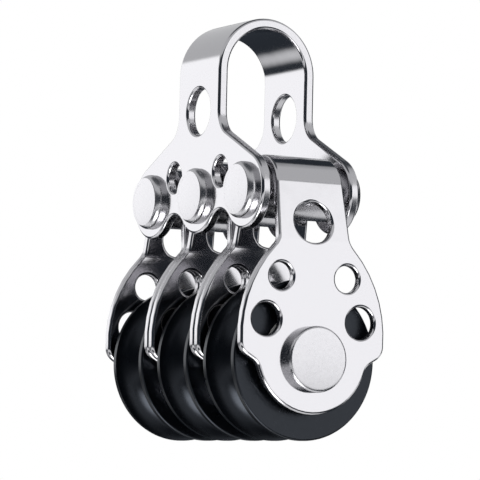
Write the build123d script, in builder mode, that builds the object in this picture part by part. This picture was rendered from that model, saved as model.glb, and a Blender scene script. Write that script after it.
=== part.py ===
from build123d import *
from math import asin, atan2, cos, floor, hypot, pi, radians, sin, sqrt, tan
import os

os.makedirs("parts", exist_ok=True)

# A small-boat triple block. Millimetres. The block hangs from a clevis pin through the bail.
# X runs along that pin and the rivets, Y along the sheave axle (front is -Y), Z is up.
# The origin is the middle of the clevis-pin bore.

# Driving dimensions: the block as a whole
pin_to_axle = 34.9          # clevis-pin axis down to the sheave axle
rivet_above_axle = 23.0     # each strap hangs from a rivet this far above the axle

# Sheaves and their rope
sheave_width = 8.8
rope_groove_radius = 3.5
sheave_web = 1.36           # solid ring between the ball race and the rope groove
groove_lip = 0.1            # the groove's arc is centred this far inside the rim
rim_round = 0.25

# Ball bearing of each sheave: two rows of loose balls between hub and sheave
axle_radius = 2.5
hub_race_radius = 3.4       # floor of the ball groove in the hub
race_depth = 0.5
ball_radius = 1.3
ball_clearance = 0.02
ball_gap = 0.05             # least gap between neighbouring balls
row_offset = 2.2            # each row's distance from the middle of the sheave
washer_thickness = 0.7
washer_outer_radius = 6.7
side_clearance = 0.25       # washer to sheave, each side
fit_clearance = 0.03        # radial clearance of shafts in their holes

# Straps: one folded strip of sheet for each sheave
strap_sheet = 1.3
fold_outer_radius = 5.05
neck_bend_above_axle = 15.8
neck_bend_radius = 4.0
cheek_margin = 0.3          # each cheek reaches this far past its sheave, to the sides
cheek_side_radius = 17.0
cheek_widest_above_axle = 3.2
cheek_foot_radius = 8.7
cheek_foot_above_axle = 1.2
shoulder_above_axle = 0.8   # the shoulders slope from here in to the foot
shoulder_slope = 30.0
shoulder_round = 2.2
foot_notch_round = 1.8
neck_clearance = 0.55       # neck to the inside of each leg of the bail
neck_taper = 3.4            # degrees, each side
neck_corner_round = 2.4
strap_edge_round = 0.35     # along the cut edges of the sheet
hole_edge_round = 0.2       # round the lightening holes of straps and bail

# Holes in the straps: x in from the cheek's widest point, z above the axle
lower_hole_radius = 2.2
lower_hole_inset = 3.92
lower_hole_z = 5.2
upper_hole_radius = 1.85
upper_hole_inset = 6.12
upper_hole_z = 11.1
neck_hole_radius = 2.9
neck_hole_z = 18.7

# Axle heads
axle_head_radius = 4.5
axle_head_height = 1.6
axle_head_round = 0.4
axle_head_crown = 0.1       # how far the face bulges

# Bail: one strip of sheet bent over the top
bail_sheet = 1.5
bail_half_width = 7.7       # outer face of each leg, and the arch's outer radius
bail_top_above_pin = 13.2
leg_half_width = 5.85
waist_round = 3.6
flare_slope = 25.5          # degrees below horizontal
lobe_radius = 5.3
lobe_notch_above_lobes = 3.0    # crown of the notch between lobes, above their lowest point
clevis_hole_radius = 3.3
small_hole_radius = 2.05
small_hole_above_rivet = 3.0
bail_edge_round = 0.4       # along the cut edges of the sheet

# Rivets and the spacers on them
rivet_radius = 2.4
rivet_head_radius = 3.9
rivet_head_height = 1.4
rivet_head_round = 1.0
rivet_head_crown = 0.15     # how far the face bulges
spacer_clearance = 0.1      # spacer to the inside of the fold

# Places that follow from those sizes
strap_inner = sheave_width + 2 * (washer_thickness + side_clearance)
strap_depth = strap_inner + 2 * strap_sheet
pitch = strap_depth         # neighbouring cheeks lie face to face
axle_z = -pin_to_axle
rivet_z = axle_z + rivet_above_axle
stations = {"front": -pitch, "middle": 0.0, "rear": pitch}
ball_circle_radius = hub_race_radius + ball_clearance + ball_radius
sheave_race_radius = ball_circle_radius + ball_radius + ball_clearance
sheave_radius = sheave_race_radius + sheave_web + rope_groove_radius + groove_lip
cheek_half_width = sheave_radius + cheek_margin
lower_hole_x = cheek_half_width - lower_hole_inset
upper_hole_x = cheek_half_width - upper_hole_inset
hub_radius = hub_race_radius + race_depth
sheave_bore_radius = sheave_race_radius - race_depth
ball_count = floor(pi / asin((2 * ball_radius + ball_gap) / (2 * ball_circle_radius)))
spacer_radius = fold_outer_radius - strap_sheet - spacer_clearance
leg_inner = bail_half_width - bail_sheet
neck_half_width = leg_inner - neck_clearance
past = 2.0                  # how far a cutting tool runs past what it cuts



def neck_lean(half_depth, radius, rise):
    """Angle in radians of the neck, from the bend to where it meets the fold."""
    return atan2(half_depth, rise) - asin(radius / hypot(half_depth, rise))


lean = neck_lean(strap_depth / 2, fold_outer_radius, rivet_above_axle - neck_bend_above_axle)


def fold_outline(station, half_depth, radius, bend_radius, low_z):
    """Closed outline in Y-Z of one side of the folded sheet: cheeks, leaning necks and fold."""
    bend_z = rivet_z - (half_depth - radius / cos(lean)) / tan(lean)
    reach = bend_radius * tan(lean / 2)
    with BuildSketch(Plane.YZ) as outline:
        with BuildLine():
            for side in (-1, 1):
                foot = (station + side * half_depth, low_z)
                below = (station + side * half_depth, bend_z - reach)
                above_y = half_depth - reach * sin(lean)
                above = (station + side * above_y, bend_z + reach * cos(lean))
                halfway_y = half_depth - bend_radius * (1 - cos(lean / 2))
                halfway = (station + side * halfway_y, below[1] + bend_radius * sin(lean / 2))
                touch = (station + side * radius * cos(lean), rivet_z + radius * sin(lean))
                Line(foot, below)
                ThreePointArc(below, halfway, above)
                Line(above, touch)
            crown = (station, rivet_z + radius)
            ThreePointArc((2 * station - touch[0], touch[1]), crown, touch)
            Line((2 * station - foot[0], low_z), foot)
        make_face()
    return outline.sketch


def cheek_outline():
    """The strap's outline seen from the front, in X-Z."""
    side_centre_x = cheek_side_radius - cheek_half_width
    widest_z = axle_z + cheek_widest_above_axle
    shoulder_z = axle_z + shoulder_above_axle
    foot_centre_z = axle_z + cheek_foot_above_axle
    top_z = rivet_z + fold_outer_radius + past
    # The corner where the neck's straight edge meets the side arc
    neck_from_centre = neck_half_width + side_centre_x
    corner_z = widest_z + sqrt(cheek_side_radius ** 2 - neck_from_centre ** 2)
    top_x = neck_half_width - (top_z - corner_z) * tan(radians(neck_taper))
    shoulder_x = sqrt(cheek_side_radius ** 2 - (widest_z - shoulder_z) ** 2) - side_centre_x
    middle_z = shoulder_z - shoulder_x * tan(radians(shoulder_slope))
    with BuildSketch(Plane.XZ) as front:
        with BuildLine():
            for side in (-1, 1):
                Line((0, middle_z), (side * shoulder_x, shoulder_z))
                ThreePointArc(
                    (side * shoulder_x, shoulder_z),
                    (side * cheek_half_width, widest_z),
                    (side * neck_half_width, corner_z),
                )
                Line((side * neck_half_width, corner_z), (side * top_x, top_z))
            Line((-top_x, top_z), (top_x, top_z))
        make_face()
        corners = front.vertices().filter_by(lambda v: abs(v.Y - corner_z) < 0.01)
        fillet(corners, neck_corner_round)
        shoulders = front.vertices().filter_by(lambda v: abs(v.Y - shoulder_z) < 0.01)
        fillet(shoulders, shoulder_round)
        with Locations((0, foot_centre_z)):
            Circle(cheek_foot_radius)
        foot_edges = front.edges().filter_by(GeomType.CIRCLE)
        foot_edges = foot_edges.filter_by(lambda e: abs(e.radius - cheek_foot_radius) < 0.01)
        lowest = foot_edges.sort_by(Axis.Y)[0]
        fillet(lowest.vertices(), foot_notch_round)
    return front.sketch


def neck_plane(station, side):
    """Plane on the leaning neck at its hole, facing out of the sheet. side is -1 in front."""
    hole_z = axle_z + neck_hole_z
    face_y = fold_outer_radius / cos(lean) + (rivet_z - hole_z) * tan(lean)
    return Plane(
        origin=(0, station + side * face_y, hole_z),
        x_dir=(1, 0, 0),
        z_dir=(0, side * cos(lean), sin(lean)),
    )


def rims_of(solid, radii):
    """The circular edges of a solid that have one of these radii."""
    circles = solid.edges().filter_by(GeomType.CIRCLE)
    return circles.filter_by(lambda e: any(abs(e.radius - radius) < 0.01 for radius in radii))


def make_strap(name, station):
    """One strip of sheet folded over its spacer, with cheeks for one sheave."""
    hole_radii = (lower_hole_radius, upper_hole_radius, neck_hole_radius)
    half_depth = strap_depth / 2
    low_z = axle_z - sheave_radius
    outside = fold_outline(station, half_depth, fold_outer_radius, neck_bend_radius, low_z)
    inside = fold_outline(
        station,
        half_depth - strap_sheet,
        fold_outer_radius - strap_sheet,
        neck_bend_radius - strap_sheet,
        low_z - past,
    )
    front = cheek_outline()
    with BuildPart() as strap:
        extrude(outside, cheek_half_width + past, both=True)
        extrude(inside, cheek_half_width + 2 * past, both=True, mode=Mode.SUBTRACT)
        extrude(front, 2 * pitch, both=True, mode=Mode.INTERSECT)
        # The cut edges are all but the bend lines (along X) and the joints across the sheet
        cut_edges = strap.edges().filter_by(
            lambda e: max(abs(e.tangent_at(0.2).X), abs(e.tangent_at(0.2).Y)) < 0.9999
        )
        fillet(cut_edges, strap_edge_round)
        # Holes through both cheeks
        with BuildSketch(Plane.XZ):
            with Locations((0, axle_z)):
                Circle(axle_radius + fit_clearance)
            for side in (-1, 1):
                with Locations((side * lower_hole_x, axle_z + lower_hole_z)):
                    Circle(lower_hole_radius)
                with Locations((side * upper_hole_x, axle_z + upper_hole_z)):
                    Circle(upper_hole_radius)
        extrude(amount=2 * pitch, both=True, mode=Mode.SUBTRACT)
        # One large hole square through each leaning neck
        for side in (-1, 1):
            with BuildSketch(neck_plane(station, side)):
                Circle(neck_hole_radius)
            extrude(amount=-2 * strap_sheet, mode=Mode.SUBTRACT)
        fillet(rims_of(strap, hole_radii), hole_edge_round)
    strap.part.label = f"strap_{name}"
    return strap


def make_sheave(name, station):
    """Sheave with a round rope groove, two ball races and thin rims."""
    half_width = sheave_width / 2
    row_side = ball_radius + ball_clearance
    with BuildPart() as sheave:
        with BuildSketch(Plane.YZ):
            with Locations((station, axle_z)):
                Rectangle(sheave_width, 2 * sheave_radius)
            with Locations((station, axle_z - sheave_radius / 2)):
                Rectangle(2 * sheave_width, sheave_radius, mode=Mode.SUBTRACT)
            with Locations((station, axle_z + sheave_radius - groove_lip)):
                Circle(rope_groove_radius, mode=Mode.SUBTRACT)
            with Locations((station, axle_z)):
                Rectangle(sheave_width, 2 * sheave_bore_radius, mode=Mode.SUBTRACT)
            for side in (-1, 1):
                with Locations((station + side * row_offset, axle_z + ball_circle_radius)):
                    Circle(row_side, mode=Mode.SUBTRACT)
        revolve(axis=Axis((0, 0, axle_z), (0, 1, 0)))
        rims = rims_of(sheave, [sheave_radius])
        rims = rims.filter_by(lambda e: abs(abs(e.center().Y - station) - half_width) < 0.01)
        fillet(rims, rim_round)
    sheave.part.label = f"sheave_{name}"
    return sheave


def make_hub(name, station):
    """Inner race, clamped between the cheeks by the axle."""
    with BuildPart() as hub:
        with BuildSketch(Plane.YZ):
            bore = axle_radius + fit_clearance
            with Locations((station, axle_z + (bore + hub_radius) / 2)):
                Rectangle(strap_inner, hub_radius - bore)
            for side in (-1, 1):
                with Locations((station + side * row_offset, axle_z + ball_circle_radius)):
                    Circle(ball_radius + ball_clearance, mode=Mode.SUBTRACT)
        revolve(axis=Axis((0, 0, axle_z), (0, 1, 0)))
    hub.part.label = f"hub_{name}"
    return hub


def make_ball_row(name, middle_y):
    """One full row of loose balls."""
    with BuildPart() as row:
        plane = Plane(origin=(0, middle_y, axle_z), x_dir=(1, 0, 0), z_dir=(0, -1, 0))
        with Locations(plane):
            with PolarLocations(ball_circle_radius, ball_count):
                Sphere(ball_radius)
    row.part.label = name
    return row


def make_side_washer(name, station, side):
    """Thin wear ring on the hub, against the cheek."""
    inner_face = station + side * (strap_inner / 2 - washer_thickness)
    plane = Plane(origin=(0, inner_face, axle_z), x_dir=(1, 0, 0), z_dir=(0, side, 0))
    with BuildPart() as washer:
        with BuildSketch(plane):
            Circle(washer_outer_radius)
            Circle(hub_radius + fit_clearance, mode=Mode.SUBTRACT)
        extrude(amount=washer_thickness)
    washer.part.label = name
    return washer


def headed_pin(plane, shank_radius, grip, head_radius, head_height, head_round, crown):
    """A pin with a pillowed disc head at each end. The plane stands at the middle of the grip."""
    head_start = grip / 2
    rim = head_start + head_height - crown
    face = head_start + head_height
    with BuildPart() as pin:
        # Half the profile: local X runs along the pin
        with BuildSketch(Plane(plane.origin, x_dir=plane.z_dir, z_dir=plane.x_dir)) as profile:
            with BuildLine():
                Polyline((face, 0), (0, 0), (0, shank_radius), (head_start, shank_radius))
                Polyline((head_start, shank_radius), (head_start, head_radius), (rim, head_radius))
                TangentArc((face, 0), (rim, head_radius), tangent=(0, 1))
            make_face()
            corner = profile.vertices().sort_by_distance((rim, head_radius))[0]
            fillet(corner, head_round)
            mirror(about=Plane.YZ)
        revolve(axis=Axis(plane.origin, plane.z_dir))
    return pin


def leg_outline():
    """The bail's outline seen from the side, in Y-Z: straight leg, flare and three lobes."""
    slope = radians(flare_slope)
    crown_z = rivet_z - lobe_radius + lobe_notch_above_lobes
    # Circle of the notch between two lobes, tangent to both, its crown at crown_z
    drop = rivet_z - crown_z
    half_pitch = pitch / 2
    notch_radius = (half_pitch ** 2 + drop ** 2 - lobe_radius ** 2) / (2 * (lobe_radius - drop))
    notch_z = crown_z - notch_radius
    span = lobe_radius + notch_radius
    web_z = rivet_z - lobe_radius * (rivet_z - notch_z) / span
    web_y = pitch - lobe_radius * half_pitch / span
    # The flare is tangent to the end lobes
    touch_y = pitch + lobe_radius * sin(slope)
    touch_z = rivet_z + lobe_radius * cos(slope)
    waist_z = touch_z + (touch_y - leg_half_width) * tan(slope)
    top_z = bail_top_above_pin + past
    with BuildSketch(Plane.YZ) as side:
        with BuildLine():
            Polyline(
                (-web_y, web_z),
                (-pitch, rivet_z),
                (-touch_y, touch_z),
                (-leg_half_width, waist_z),
                (-leg_half_width, top_z),
                (leg_half_width, top_z),
                (leg_half_width, waist_z),
                (touch_y, touch_z),
                (pitch, rivet_z),
                (web_y, web_z),
                (-web_y, web_z),
            )
        make_face()
        waists = side.vertices().filter_by(lambda v: abs(v.Y - waist_z) < 0.01)
        fillet(waists, waist_round)
        for station in stations.values():
            with Locations((station, rivet_z)):
                Circle(lobe_radius)
        for middle in (-half_pitch, half_pitch):
            with Locations((middle, notch_z)):
                Circle(notch_radius, mode=Mode.SUBTRACT)
    return side.sketch


def arch_outline(radius, low_z):
    """Closed outline in X-Z of two straight legs under a half-round arch of that radius."""
    arch_z = bail_top_above_pin - bail_half_width
    with BuildSketch(Plane.XZ) as outline:
        with BuildLine():
            Line((radius, low_z), (radius, arch_z))
            ThreePointArc((radius, arch_z), (0, arch_z + radius), (-radius, arch_z))
            Polyline((-radius, arch_z), (-radius, low_z), (radius, low_z))
        make_face()
    return outline.sketch


def make_bail():
    """One strip of sheet bent over the top, both legs alike."""
    half_length = pitch + lobe_radius
    low_z = rivet_z - 2 * lobe_radius
    with BuildPart() as bail:
        extrude(arch_outline(bail_half_width, low_z), half_length + past, both=True)
        inside = arch_outline(leg_inner, low_z - past)
        extrude(inside, half_length + 2 * past, both=True, mode=Mode.SUBTRACT)
        extrude(leg_outline(), bail_half_width + past, both=True, mode=Mode.INTERSECT)
        # The cut edges are all but the bend lines (along Y) and the joints across the legs
        cut_edges = bail.edges().filter_by(
            lambda e: max(abs(e.tangent_at(0.2).X), abs(e.tangent_at(0.2).Y)) < 0.9999
        )
        fillet(cut_edges, bail_edge_round)
        with BuildSketch(Plane.YZ):
            Circle(clevis_hole_radius)
            for station in stations.values():
                with Locations((station, rivet_z)):
                    Circle(rivet_radius + fit_clearance)
            for middle in (-pitch / 2, pitch / 2):
                with Locations((middle, rivet_z + small_hole_above_rivet)):
                    Circle(small_hole_radius)
        extrude(amount=bail_half_width + past, both=True, mode=Mode.SUBTRACT)
        fillet(rims_of(bail, [small_hole_radius]), hole_edge_round)
    bail.part.label = "bail"
    return bail


def make_spacer(name, station):
    """Tube on the rivet, between the bail's legs and inside the strap's fold."""
    with BuildPart() as spacer:
        with BuildSketch(Plane.YZ):
            with Locations((station, rivet_z)):
                Circle(spacer_radius)
                Circle(rivet_radius + fit_clearance, mode=Mode.SUBTRACT)
        extrude(amount=leg_inner, both=True)
    spacer.part.label = f"spacer_{name}"
    return spacer


pieces = [make_bail()]
for name, station in stations.items():
    pieces.append(make_strap(name, station))
    pieces.append(make_sheave(name, station))
    pieces.append(make_hub(name, station))
    pieces.append(make_ball_row(f"balls_{name}_near", station - row_offset))
    pieces.append(make_ball_row(f"balls_{name}_far", station + row_offset))
    pieces.append(make_side_washer(f"side_washer_{name}_near", station, -1))
    pieces.append(make_side_washer(f"side_washer_{name}_far", station, 1))
    pieces.append(make_spacer(name, station))
    rivet_plane = Plane(origin=(0, station, rivet_z), x_dir=(0, 1, 0), z_dir=(1, 0, 0))
    rivet = headed_pin(
        rivet_plane,
        rivet_radius,
        2 * bail_half_width,
        rivet_head_radius,
        rivet_head_height,
        rivet_head_round,
        rivet_head_crown,
    )
    rivet.part.label = f"rivet_{name}"
    pieces.append(rivet)

axle_plane = Plane(origin=(0, 0, axle_z), x_dir=(1, 0, 0), z_dir=(0, -1, 0))
axle = headed_pin(
    axle_plane,
    axle_radius,
    len(stations) * pitch,
    axle_head_radius,
    axle_head_height,
    axle_head_round,
    axle_head_crown,
)
axle.part.label = "axle"
pieces.append(axle)

for piece in pieces:
    export_step(piece.part, f"parts/{piece.part.label}.step")
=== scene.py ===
from math import asin, atan2, cos, hypot, pi, radians, sin, sqrt, tan

import bmesh
import bpy
from bpy.props import FloatProperty, FloatVectorProperty, PointerProperty
from mathutils import Matrix, Vector


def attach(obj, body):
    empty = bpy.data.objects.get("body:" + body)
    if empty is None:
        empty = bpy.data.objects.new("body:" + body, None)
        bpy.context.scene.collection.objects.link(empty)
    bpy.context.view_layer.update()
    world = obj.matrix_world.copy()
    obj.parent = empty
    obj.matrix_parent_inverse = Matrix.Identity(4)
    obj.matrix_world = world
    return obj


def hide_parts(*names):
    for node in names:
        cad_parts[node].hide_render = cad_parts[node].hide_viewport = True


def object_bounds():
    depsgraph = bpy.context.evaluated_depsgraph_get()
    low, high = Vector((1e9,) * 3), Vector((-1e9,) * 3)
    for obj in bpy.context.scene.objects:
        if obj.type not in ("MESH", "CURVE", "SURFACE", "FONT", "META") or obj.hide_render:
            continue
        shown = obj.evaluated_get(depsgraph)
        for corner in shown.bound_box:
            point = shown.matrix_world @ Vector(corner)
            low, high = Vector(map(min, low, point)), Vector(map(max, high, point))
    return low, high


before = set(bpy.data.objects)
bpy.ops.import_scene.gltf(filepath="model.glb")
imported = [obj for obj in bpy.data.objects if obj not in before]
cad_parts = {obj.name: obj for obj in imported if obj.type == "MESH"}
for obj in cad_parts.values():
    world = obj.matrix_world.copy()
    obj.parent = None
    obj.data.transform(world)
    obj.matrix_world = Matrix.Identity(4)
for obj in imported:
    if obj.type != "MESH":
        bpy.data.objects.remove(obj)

bl_info = {
    "name": "Triple block",
    "version": (1, 0, 0),
    "blender": (4, 5, 0),
    "location": "View3D > Sidebar > Block",
    "description": "Small-boat triple block: folded steel straps, black sheaves and a bent bail",
    "category": "Object",
}

MM = 0.001
CAD_BOX = [list(corner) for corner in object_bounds()]
STATIONS = ("front", "middle", "rear")
# Points closer together than this are one point
HAIR = 1e-7
# Facets round each pressed hole, along each rope groove and down each edge of a strap's neck
HOLE_STEPS = 144
GROOVE_STEPS = 32
NECK_STEPS = 24


def length(name, description, millimetres):
    """A size in the sidebar, shown as a length."""
    return FloatProperty(
        name=name,
        description=description,
        default=millimetres * MM,
        min=0.0,
        unit="LENGTH",
        precision=5,
    )


def angle(name, description, degrees):
    """An angle in the sidebar."""
    return FloatProperty(
        name=name,
        description=description,
        default=radians(degrees),
        unit="ROTATION",
    )


def colour(name, description, hex_code):
    """A colour in the sidebar, given as it looks on the screen."""
    return FloatVectorProperty(
        name=name,
        description=description,
        default=linear(hex_code),
        size=4,
        min=0.0,
        max=1.0,
        subtype="COLOR",
    )


def linear(hex_code):
    """Linear RGBA of an sRGB hex colour."""
    channels = [int(hex_code[i : i + 2], 16) / 255 for i in (0, 2, 4)]
    return tuple(
        c / 12.92 if c <= 0.04045 else ((c + 0.055) / 1.055) ** 2.4 for c in channels
    ) + (1.0,)


class BlockLayoutSettings(bpy.types.PropertyGroup):
    """Where the pieces stand. The origin is the middle of the clevis-pin bore."""

    pin_to_axle: length("Pin to axle", "Clevis-pin axis down to the sheave axle", 34.9)
    rivet_above_axle: length("Rivet above axle", "Height of the rivets over the axle", 23.0)
    pitch: length("Pitch", "Distance between neighbouring sheaves", 13.3)


class BailSettings(bpy.types.PropertyGroup):
    """The strip of sheet bent over the top."""

    sheet: length("Sheet", "Thickness of the sheet", 1.5)
    half_width: length("Half width", "Outer face of each leg and radius of the arch", 7.7)
    top: length("Top", "Top of the arch above the clevis pin", 13.2)
    leg_half_width: length("Leg half width", "Half the straight leg's width", 5.85)
    waist_round: length("Waist round", "Radius where the leg flares", 3.6)
    flare_slope: angle("Flare slope", "The flare's slope below horizontal", 25.5)
    lobe: length("Lobe radius", "Rounded end around each rivet", 5.3)
    notch: length("Notch", "Crown of the notch between lobes above their lowest point", 3.0)
    clevis_hole: length("Clevis hole", "Radius of the clevis-pin hole", 3.3)
    small_hole: length("Small hole", "Radius of the holes between the rivets", 2.05)
    small_hole_rise: length("Small hole rise", "Small holes above the rivets", 3.0)
    edge: length("Edge round", "Radius of the tumbled edges", 0.42)


class StrapSettings(bpy.types.PropertyGroup):
    """One folded strip round each sheave. Heights are above the axle."""

    sheet: length("Sheet", "Thickness of the sheet", 1.3)
    depth: length("Depth", "Outer face to outer face of the cheeks", 13.3)
    fold: length("Fold radius", "Outer radius of the fold over the spacer", 5.05)
    bend: length("Neck bend radius", "Outer radius where the cheek meets the neck", 4.0)
    bend_height: length("Neck bend height", "Where the neck starts to lean", 15.8)
    half_width: length("Half width", "Widest half width of the cheek", 11.3)
    side: length("Side radius", "Radius of the cheek's sides", 17.0)
    widest: length("Widest", "Height where the cheek is widest", 3.2)
    foot: length("Foot radius", "Radius of the rounded foot", 8.7)
    foot_height: length("Foot height", "Centre of the foot's arc", 1.2)
    shoulder: length("Shoulder", "Height of the shoulder's corner", 0.8)
    slope: angle("Shoulder slope", "Slope from shoulder to foot", 30.0)
    shoulder_round: length("Shoulder round", "Radius of the shoulder", 2.2)
    foot_round: length("Foot notch round", "Radius where shoulder meets foot", 1.8)
    neck: length("Neck half width", "Half width at the foot of the neck", 5.65)
    taper: angle("Neck taper", "Taper of each side of the neck", 3.4)
    neck_round: length("Neck corner round", "Radius where cheek meets neck", 2.4)
    axle_hole: length("Axle hole", "Radius of the axle's hole", 2.53)
    lower_hole: length("Lower hole", "Radius of the two lower holes", 2.2)
    lower_x: length("Lower hole x", "Lower holes from the middle", 7.38)
    lower_z: length("Lower hole z", "Lower holes above the axle", 5.2)
    upper_hole: length("Upper hole", "Radius of the two upper holes", 1.85)
    upper_x: length("Upper hole x", "Upper holes from the middle", 5.18)
    upper_z: length("Upper hole z", "Upper holes above the axle", 11.1)
    neck_hole: length("Neck hole", "Radius of the large hole in the neck", 2.9)
    neck_z: length("Neck hole z", "Neck hole above the axle", 18.7)
    edge: length("Edge round", "Radius of the tumbled edges", 0.4)


class PinSettings(bpy.types.PropertyGroup):
    """Rivets, spacers and the through axle."""

    rivet: length("Rivet radius", "Shank of the rivets", 2.4)
    rivet_head: length("Rivet head radius", "Radius of the rivet heads", 3.9)
    rivet_rise: length("Rivet head height", "Height of the rivet heads", 1.4)
    rivet_round: length("Rivet head round", "Rounding of the rivet heads' rims", 1.0)
    rivet_crown: length("Rivet head crown", "How far the rivet heads bulge", 0.15)
    axle: length("Axle radius", "Shank of the axle", 2.5)
    axle_head: length("Axle head radius", "Radius of the axle's heads", 4.5)
    axle_rise: length("Axle head height", "Height of the axle's heads", 1.6)
    axle_round: length("Axle head round", "Rounding of the axle heads' rims", 0.4)
    axle_crown: length("Axle head crown", "How far the axle's heads bulge", 0.1)
    spacer: length("Spacer radius", "Tube round each rivet", 3.65)
    bore_clearance: length("Bore clearance", "Shank to bore, radially", 0.03)


class SheaveSettings(bpy.types.PropertyGroup):
    """The moulded sheaves and the wear rings beside them."""

    radius: length("Radius", "Outer radius of the rims", 11.0)
    width: length("Width", "Width over the rims", 8.8)
    groove: length("Groove radius", "Radius of the rope groove", 3.5)
    lip: length("Groove lip", "Groove's centre inside the rim", 0.1)
    rim_round: length("Rim round", "Rounding of the rims", 0.25)
    bore: length("Bore", "Radius of the bore over the balls", 5.54)
    washer: length("Washer radius", "Outer radius of the wear rings", 6.7)
    washer_bore: length("Washer bore", "Radius of the wear rings' bore", 3.93)
    washer_sheet: length("Washer thickness", "Thickness of the wear rings", 0.7)


class StageSettings(bpy.types.PropertyGroup):
    """Studio round the block: the camera, the floor and the light tent."""

    camera: FloatVectorProperty(
        name="Camera",
        description="Place of the camera",
        default=(-0.2178, -0.3841, -0.0510),
        size=3,
        subtype="TRANSLATION",
        unit="LENGTH",
    )
    target: FloatVectorProperty(
        name="Target",
        description="Point in the middle of the picture",
        default=(-0.00049, 0.0, -0.01765),
        size=3,
        subtype="TRANSLATION",
        unit="LENGTH",
    )
    roll: angle("Roll", "Turn of the camera about its own axis", 1.3)
    lens: FloatProperty(
        name="Lens",
        description="Focal length in millimetres on a 36 mm sensor",
        default=235.5,
        min=1.0,
    )
    light: FloatProperty(
        name="Light",
        description="Brightness of the tent's white cards",
        default=1.55,
        min=0.0,
    )
    floor_drop: length("Floor drop", "Floor below the lowest point of the block", 40.0)
    floor_radius: length("Floor radius", "Radius of the round floor", 1200.0)
    floor_colour: colour("Floor colour", "The pale floor", "F2F2F0")


class Turn:
    """A circle that an outline runs round, counterclockwise, or clockwise where it is hollow."""

    def __init__(self, x, y, radius, hollow=False):
        self.centre = Vector((x, y))
        self.radius = -radius if hollow else radius


def belt(turns, step=radians(7)):
    """Points of the line that runs round each turn in order, straight between them."""
    headings = []
    for first, second in zip(turns, turns[1:]):
        across = second.centre - first.centre
        # The heading whose left side has both centres at their own radius
        swing = asin(max(-1.0, min(1.0, (second.radius - first.radius) / across.length)))
        headings.append(atan2(across.y, across.x) - swing)
    points = []
    # Where rounding makes no turn at all look like nearly a full one
    full = 2 * pi - 0.01
    for turn, before, after in zip(turns[1:-1], headings, headings[1:]):
        sweep = (after - before) % (2 * pi)
        if turn.radius < 0 or sweep > full:
            sweep -= 2 * pi
        if abs(sweep) > full:
            sweep = 0.0
        count = max(1, round(abs(sweep) / step))
        for i in range(count + 1):
            heading = before + sweep * i / count
            left = Vector((-sin(heading), cos(heading)))
            points.append(turn.centre - turn.radius * left)
    return points


def reach(point, direction, centre, distance):
    """Point on a line, from `point` along `direction`, at that distance from `centre`."""
    direction = direction.normalized()
    along = (centre - point).dot(direction)
    off = (centre - point).length_squared - along**2
    return point + direction * (along + sqrt(distance**2 - off))


class Strip:
    """Section of a bent strip from the middle of its top down one side, on its outer face.

    `runs` are (length, radius): a straight run has no radius, and a bend turns down.
    """

    def __init__(self, top, runs):
        self.runs = []
        place = Vector((0.0, top))
        heading = 0.0
        start = 0.0
        for size, radius in runs:
            self.runs.append((start, size, radius, place.copy(), heading))
            place, heading = self._walk(place, heading, radius, size)
            start += size
        self.length = start

    @staticmethod
    def _walk(place, heading, radius, size):
        """Place and heading after that much of a run."""
        if not radius:
            ahead = Vector((cos(heading), -sin(heading)))
            return place + ahead * size, heading
        turned = heading + size / radius
        centre = place - radius * Vector((sin(heading), cos(heading)))
        return centre + radius * Vector((sin(turned), cos(turned))), turned

    def _find(self, distance):
        """Place and heading at that distance down the strip, without regard to the side."""
        for start, size, radius, place, heading in self.runs:
            if distance <= start + size:
                break
        return self._walk(place, heading, radius, distance - start)

    def at(self, distance, height=0.0):
        """(across, up) of a point on the strip, `height` above its outer face."""
        side = -1.0 if distance < 0 else 1.0
        place, heading = self._find(abs(distance))
        place = place + height * Vector((sin(heading), cos(heading)))
        return side * place.x, place.y

    def bent(self, distance, ahead, out):
        """(across, up) of a direction that was `ahead` and `out` on the flat strip."""
        side = -1.0 if distance < 0 else 1.0
        heading = self._find(abs(distance))[1]
        across = ahead * cos(heading) + out * side * sin(heading)
        return across, out * cos(heading) - ahead * side * sin(heading)

    def down_to(self, z, halvings=40):
        """How far along the strip the height z is reached."""
        low, high = 0.0, self.length
        for _ in range(halvings):
            middle = (low + high) / 2
            if self.at(middle)[1] > z:
                low = middle
            else:
                high = middle
        return (low + high) / 2

    def cuts(self, step=radians(5)):
        """Places where the flat strip is cut across, so that its bends come out round."""
        places = []
        for start, size, radius, _, _ in self.runs:
            count = max(1, round(size / radius / step)) if radius else 1
            places += [start + size * i / count for i in range(count + 1)]
        # Two runs share the cut between them, and the strip's end needs none
        places = sorted({round(p, 7) for p in places if p < self.length - HAIR})
        return [-p for p in places if p > 0] + places


def inward(points):
    """At each point of a loop, the step sideways that moves it one unit in, to its left."""
    lefts = []
    for before, after in zip(points[-1:] + points[:-1], points):
        along = (after - before).normalized()
        lefts.append(Vector((-along.y, along.x)))
    steps = []
    for left, following in zip(lefts, lefts[1:] + lefts[:1]):
        half = (left + following) / 2
        steps.append(half / half.length_squared)
    return steps


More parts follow.
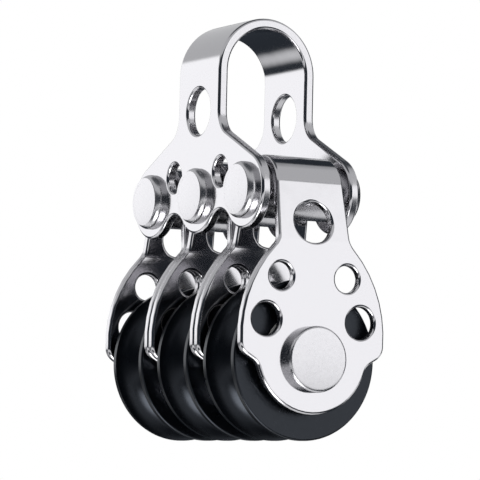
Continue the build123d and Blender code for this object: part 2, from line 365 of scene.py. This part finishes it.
def tumbled_edge(bm, points, thickness, edge_round, shade, segments=6):
    """Rows of faces round one cut edge of the blank. Returns its first and last row's edges."""
    steps = inward(points)
    rows = []
    for side in (1.0, -1.0):
        quarter = []
        for i in range(segments + 1):
            a = pi / 2 * i / segments
            depth = edge_round * (1 - cos(a))
            height = -depth if side > 0 else depth - thickness
            row = []
            for point, step in zip(points, steps):
                inset = point + step * edge_round * (1 - sin(a))
                vert = bm.verts.new((inset.x, inset.y, height))
                out = -step.normalized() * sin(a)
                vert[shade] = (out.x, out.y, side * cos(a))
                row.append(vert)
            quarter.append(row)
        rows += quarter if side > 0 else quarter[::-1]
    for k, (upper, lower) in enumerate(zip(rows, rows[1:])):
        for i in range(len(points)):
            face = bm.faces.new((upper[i - 1], upper[i], lower[i], lower[i - 1]))
            # The cut wall between the two roundings keeps a satin finish
            face.material_index = int(k == segments)
    ends = []
    for row in (rows[0], rows[-1]):
        ends.append({bm.edges.get((row[i - 1], row[i])) for i in range(len(points))})
    return ends


def press_strip(outline, holes, thickness, edge_round, strip, place):
    """Blanks a strip with holes, tumbles its edges and bends it. `place` maps it to the frame."""
    bm = bmesh.new()
    shade = bm.verts.layers.float_vector.new("shade")
    loops = [outline]
    for x, y, radius in holes:
        turns = [-2 * pi * i / HOLE_STEPS for i in range(HOLE_STEPS)]
        loops.append([Vector((x + radius * cos(a), y + radius * sin(a))) for a in turns])
    outer, inner = set(), set()
    for points in loops:
        first, last = tumbled_edge(bm, points, thickness, edge_round, shade)
        outer |= first
        inner |= last
    for edges in (outer, inner):
        bmesh.ops.triangle_fill(bm, use_beauty=True, edges=list(edges))
    for distance in strip.cuts():
        bmesh.ops.bisect_plane(
            bm,
            geom=bm.verts[:] + bm.edges[:] + bm.faces[:],
            dist=HAIR,
            plane_co=(0.0, distance, 0.0),
            plane_no=(0.0, 1.0, 0.0),
        )
    for vert in bm.verts:
        along, distance, height = vert.co
        sideways, ahead, out = vert[shade]
        vert.co = place(along, *strip.at(distance, height))
        vert[shade] = place(sideways, *strip.bent(distance, ahead, out)) - place(0.0, 0.0, 0.0)
    bm.normal_update()
    for face in bm.faces:
        outward = sum((vert[shade] for vert in face.verts), Vector((0.0, 0.0, 0.0)))
        if face.normal.dot(outward) < 0:
            face.normal_flip()
    return bm


def rounded(points, step=radians(9)):
    """A profile with its corners rounded. `points` are (radius, height, rounding)."""
    path = []
    for i, (r, h, rounding) in enumerate(points):
        corner = Vector((r, h))
        if not rounding:
            path.append(corner)
            continue
        back = (Vector(points[i - 1][:2]) - corner).normalized()
        ahead = (Vector(points[i + 1][:2]) - corner).normalized()
        half = back.angle(ahead) / 2
        centre = corner + (back + ahead).normalized() * rounding / sin(half)
        first = (corner + back * rounding / tan(half) - centre).normalized()
        second = (corner + ahead * rounding / tan(half) - centre).normalized()
        count = max(2, round(first.angle(second) / step))
        for k in range(count + 1):
            path.append(centre + rounding * first.slerp(second, k / count))
    return path


def turned(profile, centre, axis, steps=128):
    """A profile of (radius, height) spun about `axis` ("X" or "Y") through `centre`."""
    bm = bmesh.new()
    centre = Vector(centre)
    along = Vector((1, 0, 0)) if axis == "X" else Vector((0, 1, 0))
    out = Vector((0, 0, 1))
    verts = [bm.verts.new(centre + along * h + out * r) for r, h in profile]
    edges = [bm.edges.new(pair) for pair in zip(verts, verts[1:])]
    if profile[0][0] > 0:
        edges.append(bm.edges.new((verts[-1], verts[0])))
    bmesh.ops.spin(
        bm,
        geom=verts + edges,
        cent=centre,
        axis=along,
        angle=2 * pi,
        steps=steps,
        use_merge=True,
    )
    bmesh.ops.remove_doubles(bm, verts=bm.verts[:], dist=HAIR)
    bmesh.ops.recalc_face_normals(bm, faces=bm.faces[:])
    return bm


def finished(bm, materials, node, body):
    """Mesh object of a piece, smooth shaded, that stands for a CAD node."""
    name = f"{node}_finished"
    shade = bm.verts.layers.float_vector.get("shade")
    normals = [vert[shade].normalized() for vert in bm.verts] if shade else []
    mesh = bpy.data.meshes.new(name)
    bm.to_mesh(mesh)
    bm.free()
    mesh.shade_smooth()
    for finish in materials:
        mesh.materials.append(finish)
    piece = bpy.data.objects.new(name, mesh)
    bpy.context.scene.collection.objects.link(piece)
    if normals:
        mesh.normals_split_custom_set_from_vertices(normals)
        mesh.attributes.remove(mesh.attributes["shade"])
    else:
        # Flat faces keep their own normals, so that only the rounded edges shade round
        mesh.set_sharp_from_angle(angle=radians(35))
        weighted = piece.modifiers.new("Face-weighted normals", "WEIGHTED_NORMAL")
        weighted.keep_sharp = True
    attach(piece, body)
    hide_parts(node)
    return piece


def add(tree, kind, links=(), **settings):
    """Adds a shader node. `links` are (input name, output socket)."""
    node = tree.nodes.new(kind)
    for key, value in settings.items():
        setattr(node, key, value)
    for name, socket in links:
        tree.links.new(socket, node.inputs[name])
    return node


def new_material(name):
    """An empty node material with its output and a Principled shader."""
    material = bpy.data.materials.new(name)
    material.use_nodes = True
    tree = material.node_tree
    tree.nodes.clear()
    shader = add(tree, "ShaderNodeBsdfPrincipled")
    add(tree, "ShaderNodeOutputMaterial", [("Surface", shader.outputs[0])])
    return material, tree, shader


def grain(tree, size_mm, detail=4.0):
    """Noise in the object's own coordinates whose features are `size_mm` across."""
    place = add(tree, "ShaderNodeTexCoord")
    scaled = add(tree, "ShaderNodeMapping", [("Vector", place.outputs["Object"])])
    scaled.inputs["Scale"].default_value = [1 / (size_mm * MM)] * 3
    noise = add(tree, "ShaderNodeTexNoise", [("Vector", scaled.outputs[0])])
    noise.inputs["Scale"].default_value = 1.0
    noise.inputs["Detail"].default_value = detail
    return noise.outputs["Fac"]


def spread(tree, value, low, high):
    """A value from 0 to 1 spread over a narrower range."""
    node = add(tree, "ShaderNodeMapRange", [("Value", value)])
    node.inputs["To Min"].default_value = low
    node.inputs["To Max"].default_value = high
    return node.outputs[0]


def fade(tree, value, low, high):
    """0 up to `low` and 1 from `high` on, smooth between."""
    node = add(tree, "ShaderNodeMapRange", [("Value", value)], interpolation_type="SMOOTHSTEP")
    node.inputs["From Min"].default_value = low
    node.inputs["From Max"].default_value = high
    return node.outputs[0]


def blend(tree, amount, first, second):
    """From the first value to the second. The second may be a number."""
    node = add(tree, "ShaderNodeMix", [("Factor", amount), ("A", first)])
    if isinstance(second, float):
        node.inputs["B"].default_value = second
    else:
        tree.links.new(second, node.inputs["B"])
    return node.outputs["Result"]


def either(tree, rays, first, second):
    """The first shader, but the second for the rays that count 1."""
    links = [("Fac", rays), (1, first.outputs[0]), (2, second.outputs[0])]
    return add(tree, "ShaderNodeMixShader", links)


def cloth(tree, height, stops):
    """Brightness by height, from (height, brightness) pairs. Heights are from -1 to 1."""
    place = add(tree, "ShaderNodeMapRange", [("Value", height)])
    place.inputs["From Min"].default_value = -1.0
    ramp = add(tree, "ShaderNodeValToRGB", [("Fac", place.outputs[0])])
    points = ramp.color_ramp.elements
    while len(points) < len(stops):
        points.new(1.0)
    for point, (up, light) in zip(points, stops):
        point.position = (up + 1) / 2
        point.color = (light, light, light, 1.0)
    return ramp.outputs["Color"]


def patch(tree, direction, towards, outer, inner):
    """1 within `inner` degrees of a direction, fading out to `outer` degrees."""
    dot = add(tree, "ShaderNodeVectorMath", [(0, direction)], operation="DOT_PRODUCT")
    dot.inputs[1].default_value = Vector(towards).normalized()
    return fade(tree, dot.outputs["Value"], cos(radians(outer)), cos(radians(inner)))


def relief(tree, height, depth_mm, shader):
    """Bump of that height on a shader."""
    bump = add(tree, "ShaderNodeBump", [("Height", height)])
    bump.inputs["Strength"].default_value = 1.0
    bump.inputs["Distance"].default_value = depth_mm * MM
    tree.links.new(bump.outputs[0], shader.inputs["Normal"])


def polished_stainless():
    """Tumbled and polished sheet: a near mirror whose soft waviness bends reflections."""
    material, tree, shader = new_material("Polished stainless sheet, tumbled")
    shader.inputs["Metallic"].default_value = 1.0
    shader.inputs["Base Color"].default_value = linear("C5C4C7")
    fine = grain(tree, 1.2)
    tree.links.new(spread(tree, fine, 0.08, 0.14), shader.inputs["Roughness"])
    waves = grain(tree, 4.0, detail=1.0)
    relief(tree, waves, 0.015, shader)
    return material


def satin_stainless():
    """Turned and tumbled heads: a fine matt grain that scatters the light softly."""
    material, tree, shader = new_material("Satin stainless, turned and tumbled")
    shader.inputs["Metallic"].default_value = 1.0
    shader.inputs["Base Color"].default_value = linear("C9C8CB")
    fine = grain(tree, 0.35)
    tree.links.new(spread(tree, fine, 0.2, 0.32), shader.inputs["Roughness"])
    relief(tree, fine, 0.002, shader)
    return material


def black_acetal():
    """Moulded black acetal: deep black with a soft sheen where it turns to the light."""
    material, tree, shader = new_material("Black acetal, moulded")
    shader.inputs["Base Color"].default_value = linear("0A0D12")
    shader.inputs["Specular Tint"].default_value = linear("E4EEFF")
    shader.inputs["Specular IOR Level"].default_value = 0.42
    fine = grain(tree, 0.8)
    tree.links.new(spread(tree, fine, 0.24, 0.34), shader.inputs["Roughness"])
    relief(tree, fine, 0.002, shader)
    return material


def white_acetal():
    """White acetal of the bearing: smooth and slightly waxy."""
    material, tree, shader = new_material("White acetal, ground")
    shader.inputs["Base Color"].default_value = linear("E4E3DE")
    fine = grain(tree, 0.5)
    tree.links.new(spread(tree, fine, 0.3, 0.4), shader.inputs["Roughness"])
    return material


# Filled on first use
MATERIALS = {}


def material(slot):
    """The finish of a material slot, made once."""
    if not MATERIALS:
        MATERIALS["polished_stainless"] = polished_stainless()
        MATERIALS["satin_stainless"] = satin_stainless()
        MATERIALS["black_acetal"] = black_acetal()
        MATERIALS["white_acetal"] = white_acetal()
    return MATERIALS[slot]


def station_y(scene, name):
    """Middle of a sheave along the axle."""
    return (STATIONS.index(name) - 1) * scene.block_layout.pitch


def axle_z(scene):
    """Height of the axle."""
    return -scene.block_layout.pin_to_axle


def rivet_z(scene):
    """Height of the rivets."""
    return axle_z(scene) + scene.block_layout.rivet_above_axle


class BLOCK_OT_bail(bpy.types.Operator):
    """Make the bent bail with its two flared legs"""

    bl_idname = "block.make_bail"
    bl_label = "Bail"

    def execute(self, context):
        scene = context.scene
        bail = scene.block_bail
        pitch = scene.block_layout.pitch
        rivets = rivet_z(scene)
        strip = Strip(
            bail.top,
            [
                (bail.half_width * pi / 2, bail.half_width),
                (bail.top - bail.half_width - rivets + 2 * bail.lobe, 0.0),
            ],
        )
        # The notch between two lobes touches both, with its crown at the set height
        drop = bail.lobe - bail.notch
        notch = ((pitch / 2) ** 2 + drop**2 - bail.lobe**2) / (2 * (bail.lobe - drop))
        slope = Vector((cos(bail.flare_slope), -sin(bail.flare_slope)))
        touch = Vector((pitch, rivets)) + bail.lobe * Vector((-slope.y, slope.x))
        waist_x = bail.leg_half_width + bail.waist_round
        lifted = touch + bail.waist_round * Vector((-slope.y, slope.x))
        waist_z = lifted.y + (lifted.x - waist_x) * tan(bail.flare_slope)
        turns = [
            Turn(-pitch / 2, rivets - drop - notch, notch, hollow=True),
            Turn(0.0, rivets, bail.lobe),
            Turn(pitch / 2, rivets - drop - notch, notch, hollow=True),
            Turn(pitch, rivets, bail.lobe),
            Turn(waist_x, waist_z, bail.waist_round, hollow=True),
            Turn(waist_x, waist_z + bail.top, bail.waist_round, hollow=True),
        ]
        quarter = [
            Vector((point.x, strip.down_to(point.y)))
            for point in belt(turns)
            if point.x > -HAIR
        ]
        bore = scene.block_pins.rivet + scene.block_pins.bore_clearance
        small_down = strip.down_to(rivets + bail.small_hole_rise)
        holes = []
        for side in (-1, 1):
            holes.append((0.0, side * strip.down_to(0.0), bail.clevis_hole))
            for name in STATIONS:
                holes.append((station_y(scene, name), side * strip.down_to(rivets), bore))
            for between in (-pitch / 2, pitch / 2):
                holes.append((between, side * small_down, bail.small_hole))
        bm = press_strip(
            four_quarters(quarter),
            holes,
            bail.sheet,
            bail.edge,
            strip,
            lambda along, across, up: Vector((across, along, up)),
        )
        steel = [material("polished_stainless"), material("satin_stainless")]
        finished(bm, steel, "bail", "block")
        return {"FINISHED"}


def four_quarters(quarter, apart=1e-6):
    """Closed outline of a blank, counterclockwise, from its quarter between foot and top.

    Points nearer to each other than `apart` become one.
    """
    mirrored = [Vector((p.x, -p.y)) for p in reversed(quarter)]
    right = quarter + mirrored
    left = [Vector((-p.x, p.y)) for p in reversed(right)]
    outline = []
    for point in right + left:
        if not outline or (point - outline[-1]).length > apart:
            outline.append(point)
    if (outline[0] - outline[-1]).length < apart:
        outline.pop()
    return outline[::-1]


class BLOCK_OT_straps(bpy.types.Operator):
    """Make the folded straps, one round each sheave"""

    bl_idname = "block.make_straps"
    bl_label = "Straps"

    def execute(self, context):
        scene = context.scene
        strap = scene.block_straps
        axle, rivets = axle_z(scene), rivet_z(scene)
        half = strap.depth / 2
        rise = rivets - axle - strap.bend_height
        lean = atan2(half, rise) - asin(strap.fold / hypot(half, rise))
        bend_z = rivets - (half - strap.fold / cos(lean)) / tan(lean)
        back = strap.bend * tan(lean / 2)
        touch = Vector((strap.fold * cos(lean), rivets + strap.fold * sin(lean)))
        above = Vector((half - back * sin(lean), bend_z + back * cos(lean)))
        strip = Strip(
            rivets + strap.fold,
            [
                (strap.fold * (pi / 2 - lean), strap.fold),
                ((touch - above).length, 0.0),
                (strap.bend * lean, strap.bend),
                (bend_z - axle + strap.foot + strap.foot_height, 0.0),
            ],
        )
        quarter = [
            Vector((point.x, strip.down_to(point.y)))
            for point in self.front(strap, axle, rivets)
        ]
        holes = []
        for side in (-1, 1):
            holes.append((0.0, side * strip.down_to(axle), strap.axle_hole))
            holes.append((0.0, side * strip.down_to(axle + strap.neck_z), strap.neck_hole))
            for hand in (-1, 1):
                lower = side * strip.down_to(axle + strap.lower_z)
                upper = side * strip.down_to(axle + strap.upper_z)
                holes.append((hand * strap.lower_x, lower, strap.lower_hole))
                holes.append((hand * strap.upper_x, upper, strap.upper_hole))
        outline = four_quarters(quarter)
        steel = [material("polished_stainless"), material("satin_stainless")]
        for name in STATIONS:
            y = station_y(scene, name)
            bm = press_strip(
                outline,
                holes,
                strap.sheet,
                strap.edge,
                strip,
                lambda along, across, up, y=y: Vector((along, y + across, up)),
            )
            finished(bm, steel, f"strap_{name}", "block")
        return {"FINISHED"}

    @staticmethod
    def front(strap, axle, rivets):
        """Right half of the outline seen from the front, from the foot to the top."""
        side_centre = Vector((strap.half_width - strap.side, axle + strap.widest))
        foot_centre = Vector((0.0, axle + strap.foot_height))
        top_z = rivets + strap.fold
        corner_z = side_centre.y + sqrt(strap.side**2 - (strap.neck - side_centre.x) ** 2)
        upward = Vector((-tan(strap.taper), 1.0)).normalized()
        corner = Vector((strap.neck, corner_z))
        # Fillet between the neck's edge and the cheek's side, outside both
        offset = corner + strap.neck_round * Vector((upward.y, -upward.x))
        neck_fillet = reach(offset, upward, side_centre, strap.side + strap.neck_round)
        # Shoulder, inside the cheek's side and above the slope
        shoulder_x = side_centre.x + sqrt(strap.side**2 - (strap.widest - strap.shoulder) ** 2)
        shoulder = Vector((shoulder_x, axle + strap.shoulder))
        outward = Vector((cos(strap.slope), sin(strap.slope)))
        inset = shoulder + strap.shoulder_round * Vector((-outward.y, outward.x))
        shoulder_fillet = reach(inset, outward, side_centre, strap.side - strap.shoulder_round)
        # Notch, below the slope and outside the foot
        sunk = shoulder - strap.foot_round * Vector((-outward.y, outward.x))
        foot_fillet = reach(sunk, outward, foot_centre, strap.foot + strap.foot_round)
        top_x = strap.neck - (top_z - corner_z) * tan(strap.taper)
        # The first and the last turn only give the line its headings
        turns = [
            Turn(-1.0, foot_centre.y - strap.foot, 0.0),
            Turn(*foot_centre, strap.foot),
            Turn(*foot_fillet, strap.foot_round, hollow=True),
            Turn(*shoulder_fillet, strap.shoulder_round),
            Turn(*side_centre, strap.side),
            Turn(*neck_fillet, strap.neck_round, hollow=True),
            Turn(top_x, top_z, 0.0),
            Turn(top_x - upward.x, top_z + 1.0, 0.0),
        ]
        points = belt(turns)
        # The neck's straight edge gets points of its own, because the fold bends it
        neck = points[-2]
        top = Vector((top_x, top_z))
        points = points[:-2] + [neck.lerp(top, i / NECK_STEPS) for i in range(NECK_STEPS + 1)]
        return [point for point in points if point.x > -HAIR]


class BLOCK_OT_sheaves(bpy.types.Operator):
    """Make the moulded sheaves with their rope grooves"""

    bl_idname = "block.make_sheaves"
    bl_label = "Sheaves"

    def execute(self, context):
        scene = context.scene
        sheave = scene.block_sheaves
        half = sheave.width / 2
        groove_centre = sheave.radius - sheave.lip
        lip_angle = asin(sheave.lip / sheave.groove)
        sweep = pi + 2 * lip_angle
        groove = []
        for i in range(GROOVE_STEPS + 1):
            a = pi + lip_angle - sweep * i / GROOVE_STEPS
            groove.append((groove_centre - sheave.groove * sin(a), sheave.groove * cos(a), 0.0))
        # The bore's first corner closes the profile for the roundings and is dropped again
        profile = rounded(
            [(sheave.bore, half, 0.0), (sheave.bore, -half, 0.0)]
            + [(sheave.radius, -half, sheave.rim_round)]
            + groove
            + [(sheave.radius, half, sheave.rim_round), (sheave.bore, half, 0.0)]
        )[:-1]
        for name in STATIONS:
            centre = (0.0, station_y(scene, name), axle_z(scene))
            bm = turned(profile, centre, "Y", steps=160)
            body = f"sheave_{name}"
            finished(bm, [material("black_acetal")], body, body)
        return {"FINISHED"}


def headed_pin(shank, grip, head, rise, rounding, crown, rings=8):
    """Half profile of a pin with a pillowed, rounded disc head at each end."""
    half = grip / 2
    bulge = (head**2 + crown**2) / (2 * crown)
    end = []
    for i in range(rings):
        r = head * i / rings
        end.append((r, half + rise - bulge + sqrt(bulge**2 - r**2), 0.0))
    end.append((head, half + rise - crown, rounding))
    end += [(head, half, 0.0), (shank, half, 0.0)]
    return rounded(end + [(r, -h, rounding) for r, h, rounding in reversed(end)])


class BLOCK_OT_rivets(bpy.types.Operator):
    """Make the headed rivets through both legs of the bail"""

    bl_idname = "block.make_rivets"
    bl_label = "Rivets"

    def execute(self, context):
        scene = context.scene
        pins = scene.block_pins
        grip = 2 * scene.block_bail.half_width
        profile = headed_pin(
            pins.rivet, grip, pins.rivet_head, pins.rivet_rise, pins.rivet_round, pins.rivet_crown
        )
        for name in STATIONS:
            centre = (0.0, station_y(scene, name), rivet_z(scene))
            bm = turned(profile, centre, "X")
            steel = [material("satin_stainless")]
            finished(bm, steel, f"rivet_{name}", "block")
        return {"FINISHED"}


class BLOCK_OT_spacers(bpy.types.Operator):
    """Make the tubes on the rivets, inside the folds"""

    bl_idname = "block.make_spacers"
    bl_label = "Spacers"

    def execute(self, context):
        scene = context.scene
        pins = scene.block_pins
        half = scene.block_bail.half_width - scene.block_bail.sheet
        bore = pins.rivet + pins.bore_clearance
        profile = [(bore, half), (pins.spacer, half), (pins.spacer, -half), (bore, -half)]
        for name in STATIONS:
            centre = (0.0, station_y(scene, name), rivet_z(scene))
            bm = turned(profile, centre, "X", steps=96)
            steel = [material("satin_stainless")]
            finished(bm, steel, f"spacer_{name}", "block")
        return {"FINISHED"}


class BLOCK_OT_axle(bpy.types.Operator):
    """Make the through axle with its large satin heads"""

    bl_idname = "block.make_axle"
    bl_label = "Axle"

    def execute(self, context):
        scene = context.scene
        pins = scene.block_pins
        grip = len(STATIONS) * scene.block_layout.pitch
        profile = headed_pin(
            pins.axle, grip, pins.axle_head, pins.axle_rise, pins.axle_round, pins.axle_crown
        )
        centre = (0.0, 0.0, axle_z(scene))
        bm = turned(profile, centre, "Y", steps=160)
        finished(bm, [material("satin_stainless")], "axle", "block")
        return {"FINISHED"}


class BLOCK_OT_washers(bpy.types.Operator):
    """Make the wear rings between sheaves and cheeks"""

    bl_idname = "block.make_washers"
    bl_label = "Wear rings"

    def execute(self, context):
        scene = context.scene
        sheave = scene.block_sheaves
        outer = scene.block_straps.depth / 2 - scene.block_straps.sheet
        inner = outer - sheave.washer_sheet
        for name in STATIONS:
            for place, side in (("near", -1), ("far", 1)):
                profile = [
                    (sheave.washer_bore, side * inner),
                    (sheave.washer, side * inner),
                    (sheave.washer, side * outer),
                    (sheave.washer_bore, side * outer),
                ]
                centre = (0.0, station_y(scene, name), axle_z(scene))
                bm = turned(profile, centre, "Y", steps=96)
                finish = [material("white_acetal")]
                node = f"side_washer_{name}_{place}"
                finished(bm, finish, node, "block")
        return {"FINISHED"}


class BLOCK_OT_finishes(bpy.types.Operator):
    """Give the inner CAD pieces their finishes"""

    bl_idname = "block.make_finishes"
    bl_label = "Inner pieces' finishes"

    def execute(self, context):
        inner = {"balls": "white_acetal", "hub": "satin_stainless"}
        for name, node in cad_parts.items():
            finish = inner.get(name.split("_")[0])
            if finish:
                node.data.materials.clear()
                node.data.materials.append(material(finish))
        return {"FINISHED"}


# What the light tent shows to the metal. Heights are sines of the elevation, from -1 straight
# below to 1 overhead, widths are in degrees, and brightness is a share of the tent's light
CLOTH_AHEAD = ((0.45, 0.02), (0.5, 0.43))
CLOTH_BEHIND = ((0.18, 0.02), (0.26, 0.42))
AHEAD_TO_BEHIND = (-0.15, 0.15)
TABLE = 0.6
TABLE_EDGE = (-0.66, -0.8)
# A lit floor just below the horizon, with gaps behind and before the block
FLOOR = ((-0.44, 0.0), (-0.38, 0.6), (-0.22, 0.6), (-0.14, 0.0))
FLOOR_GAPS = (((0.0, 1.0, 0.0), 44.0), ((0.5, -0.866, 0.0), 38.0))
FLOOR_GAP_EDGE = 8.0
# White cards, as direction, width, foot and top: one to the front right that the plates mirror
# and one to the back left for the bail's legs
CARDS = (((0.5, -0.866, 0.0), 28.0, -0.3, 0.46), ((-0.5, 0.866, 0.0), 34.0, -0.06, 0.34))
CARD_EDGE = 6.0
CARD_FOOT_EDGE = 0.03
CARD_TOP_EDGE = 0.02
# Round lights and gaps, as direction, outer and inner width, and brightness
SPOTS = (
    # Low cards before and behind, for the undersides of the heads
    ((-0.1, -0.87, -0.45), 24.0, 12.0, 0.6),
    ((-0.49, 0.68, -0.54), 22.0, 12.0, 0.7),
    # A lamp low on the left, the sheen in the sheaves' grooves
    ((-0.39, -0.36, -0.83), 24.0, 12.0, 4.0),
    # A dark gap low in front, which the inner sides of the necks mirror
    ((0.491, -0.826, -0.276), 14.0, 9.0, 0.02),
    # Dark gaps straight overhead and high behind, the line along the top of the front fold
    ((0.0, 0.1, 1.0), 34.0, 24.0, 0.06),
    ((0.49, 0.435, 0.8), 20.0, 14.0, 0.02),
)
# What makes the gaps a dark blue-grey
DUSK = (0.0, 0.004, 0.01)
WHITE = (1.0, 1.0, 1.0, 1.0)


class BLOCK_OT_stage(bpy.types.Operator):
    """Set up the floor, the light tent and the camera"""

    bl_idname = "block.make_stage"
    bl_label = "Studio"

    def execute(self, context):
        scene = context.scene
        stage = scene.block_stage
        self.floor(scene, stage)
        self.tent(scene, stage)
        self.camera(scene, stage)
        scene.view_settings.view_transform = "Standard"
        return {"FINISHED"}

    @staticmethod
    def floor(scene, stage):
        """A pale floor well below the block, which hangs in the air."""
        bm = bmesh.new()
        drop = CAD_BOX[0][2] - stage.floor_drop
        bmesh.ops.create_circle(
            bm,
            cap_ends=True,
            segments=96,
            radius=stage.floor_radius,
            matrix=Matrix.Translation((0.0, 0.0, drop)),
        )
        mesh = bpy.data.meshes.new("Floor")
        bm.to_mesh(mesh)
        bm.free()
        floor = bpy.data.objects.new("Floor", mesh)
        scene.collection.objects.link(floor)
        paint, tree, shader = new_material("Pale floor, matt paper")
        shader.inputs["Base Color"].default_value = stage.floor_colour
        shader.inputs["Roughness"].default_value = 0.9
        # The camera sees clean white paper, as in a cut-out product picture, and the metal
        # sees the tent below through it
        rays = add(tree, "ShaderNodeLightPath")
        white = add(tree, "ShaderNodeEmission")
        white.inputs["Color"].default_value = WHITE
        clear = add(tree, "ShaderNodeBsdfTransparent")
        seen = either(tree, rays.outputs["Is Camera Ray"], shader, white)
        both = either(tree, rays.outputs["Is Glossy Ray"], seen, clear)
        output = next(n for n in tree.nodes if n.type == "OUTPUT_MATERIAL")
        tree.links.new(both.outputs[0], output.inputs["Surface"])
        mesh.materials.append(paint)

    @staticmethod
    def tent(scene, stage):
        """White cloth round the block with dark gaps: what the polished metal mirrors."""
        world = bpy.data.worlds.new("Light tent")
        scene.world = world
        world.use_nodes = True
        tree = world.node_tree
        tree.nodes.clear()
        place = add(tree, "ShaderNodeTexCoord").outputs["Generated"]
        split = add(tree, "ShaderNodeSeparateXYZ", [("Vector", place)])
        height = split.outputs["Z"]
        # Cloth overhead and a table straight below, dark between
        ahead = cloth(tree, height, CLOTH_AHEAD)
        behind = cloth(tree, height, CLOTH_BEHIND)
        light = blend(tree, fade(tree, split.outputs["Y"], *AHEAD_TO_BEHIND), ahead, behind)
        light = blend(tree, fade(tree, height, *TABLE_EDGE), light, TABLE)
        # Widths of the floor's gaps and of the cards are measured on the level
        level = add(tree, "ShaderNodeVectorMath", [(0, place)], operation="MULTIPLY")
        level.inputs[1].default_value = (1.0, 1.0, 0.0)
        level = add(tree, "ShaderNodeVectorMath", [(0, level.outputs[0])], operation="NORMALIZE")
        level = level.outputs[0]
        floor = cloth(tree, height, FLOOR)
        for towards, width in FLOOR_GAPS:
            gap = patch(tree, level, towards, width, width - FLOOR_GAP_EDGE)
            floor = blend(tree, gap, floor, 0.0)
        lit = add(tree, "ShaderNodeMath", [(0, light), (1, floor)], operation="MAXIMUM")
        light = lit.outputs[0]
        for towards, width, foot, top in CARDS:
            wide = patch(tree, level, towards, width, width - CARD_EDGE)
            stops = (
                (foot - CARD_FOOT_EDGE, 0.0),
                (foot + CARD_FOOT_EDGE, 1.0),
                (top - CARD_TOP_EDGE, 1.0),
                (top + CARD_TOP_EDGE, 0.0),
            )
            tall = cloth(tree, height, stops)
            card = add(tree, "ShaderNodeMath", [(0, wide), (1, tall)], operation="MULTIPLY")
            light = blend(tree, card.outputs[0], light, 1.0)
        for towards, outer, inner, brightness in SPOTS:
            light = blend(tree, patch(tree, place, towards, outer, inner), light, brightness)
        dusk = add(tree, "ShaderNodeVectorMath", [(0, light)], operation="ADD")
        dusk.inputs[1].default_value = DUSK
        mirrored = add(tree, "ShaderNodeBackground", [("Color", dusk.outputs[0])])
        mirrored.inputs["Strength"].default_value = stage.light
        # The camera itself sees plain white
        white = add(tree, "ShaderNodeBackground")
        white.inputs["Color"].default_value = WHITE
        rays = add(tree, "ShaderNodeLightPath")
        mixed = either(tree, rays.outputs["Is Camera Ray"], mirrored, white)
        add(tree, "ShaderNodeOutputWorld", [("Surface", mixed.outputs[0])])

    @staticmethod
    def camera(scene, stage):
        """A long lens from the front left, a little below the block."""
        data = bpy.data.cameras.new("Camera")
        data.lens = stage.lens
        data.clip_start = 0.01
        camera = bpy.data.objects.new("Camera", data)
        scene.collection.objects.link(camera)
        camera.location = stage.camera
        aim = (Vector(stage.target) - Vector(stage.camera)).to_track_quat("-Z", "Y").to_matrix()
        camera.rotation_euler = (aim @ Matrix.Rotation(stage.roll, 3, "Z")).to_euler()
        scene.camera = camera


SETTINGS = {
    "block_layout": BlockLayoutSettings,
    "block_bail": BailSettings,
    "block_straps": StrapSettings,
    "block_pins": PinSettings,
    "block_sheaves": SheaveSettings,
    "block_stage": StageSettings,
}
OPERATORS = (
    BLOCK_OT_bail,
    BLOCK_OT_straps,
    BLOCK_OT_sheaves,
    BLOCK_OT_rivets,
    BLOCK_OT_spacers,
    BLOCK_OT_axle,
    BLOCK_OT_washers,
    BLOCK_OT_finishes,
    BLOCK_OT_stage,
)


class BLOCK_PT_sidebar(bpy.types.Panel):
    """Lists the block's settings and the steps that make it"""

    bl_idname = "BLOCK_PT_sidebar"
    bl_label = "Triple block"
    bl_space_type = "VIEW_3D"
    bl_region_type = "UI"
    bl_category = "Block"

    def draw(self, context):
        for name, group in SETTINGS.items():
            box = self.layout.box()
            box.label(text=name.replace("_", " ").capitalize())
            settings = getattr(context.scene, name)
            for key in group.__annotations__:
                box.prop(settings, key)
        for operator in OPERATORS:
            self.layout.operator(operator.bl_idname)


def register():
    """Registers the classes and hangs each group of settings on the scene."""
    for name, group in SETTINGS.items():
        bpy.utils.register_class(group)
        setattr(bpy.types.Scene, name, PointerProperty(type=group))
    for operator in OPERATORS:
        bpy.utils.register_class(operator)
    bpy.utils.register_class(BLOCK_PT_sidebar)


def unregister():
    """Takes back what register() did."""
    bpy.utils.unregister_class(BLOCK_PT_sidebar)
    for operator in reversed(OPERATORS):
        bpy.utils.unregister_class(operator)
    for name, group in reversed(SETTINGS.items()):
        delattr(bpy.types.Scene, name)
        bpy.utils.unregister_class(group)


def main():
    """Makes the block and its studio."""
    register()
    for operator in OPERATORS:
        group, step = operator.bl_idname.split(".")
        getattr(getattr(bpy.ops, group), step)()


if __name__ == "__main__":
    main()
